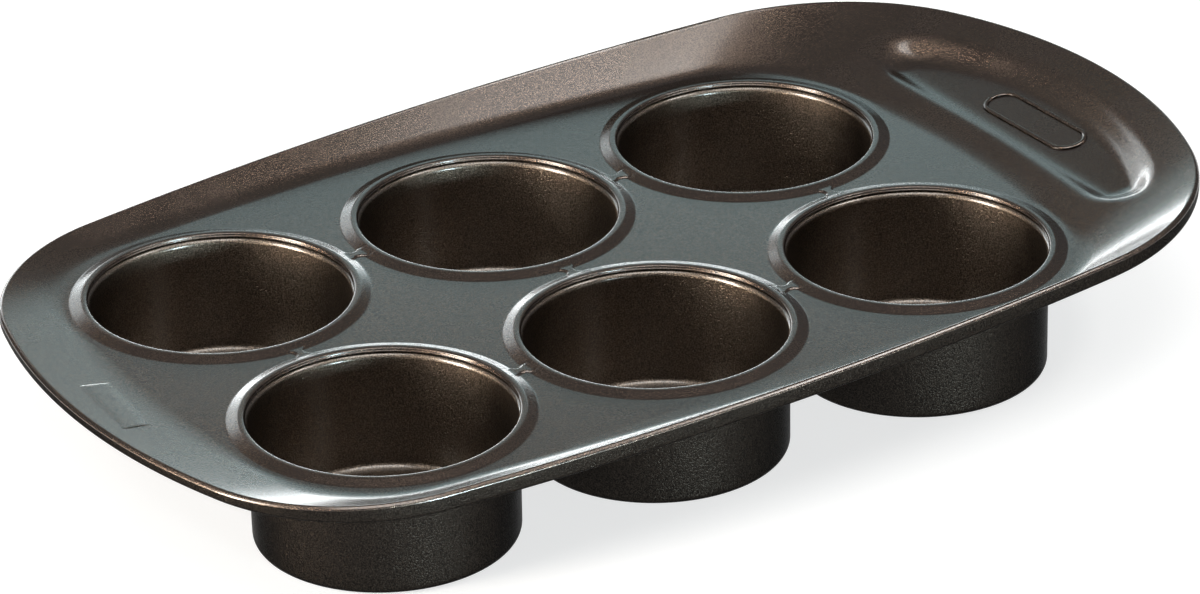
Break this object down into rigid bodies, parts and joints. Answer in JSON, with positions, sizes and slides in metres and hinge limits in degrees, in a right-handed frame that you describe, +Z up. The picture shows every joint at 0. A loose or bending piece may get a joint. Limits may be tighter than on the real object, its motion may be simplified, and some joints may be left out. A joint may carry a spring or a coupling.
{
  "type": "muffin pan",
  "caption": "Coated steel muffin pan: round deep cups seamed into collared openings of a tray with a raised rolled rim and a wide handle end with a thumb recess.",
  "frame": {"origin": "on the surface the cups stand on, under the middle of the pan's length and width", "axes": "+X along the pan to the handle end, +Y to the back row of cups, +Z up out of the cups' mouths"},
  "size_m": [0.307, 0.1904, 0.0438],
  "materials": {
    "tray_coating": "semi-gloss dark bronze non-stick coating with fine metallic grain",
    "cup_coating": "semi-gloss dark bronze non-stick coating with fine metallic grain"
  },
  "bodies": {
    "root": {"tray": "tray_coating", "cup_front_plain_end": "cup_coating", "cup_front_middle": "cup_coating", "cup_front_handle_end": "cup_coating", "cup_back_plain_end": "cup_coating", "cup_back_middle": "cup_coating", "cup_back_handle_end": "cup_coating"}
  },
  "joints": []
}
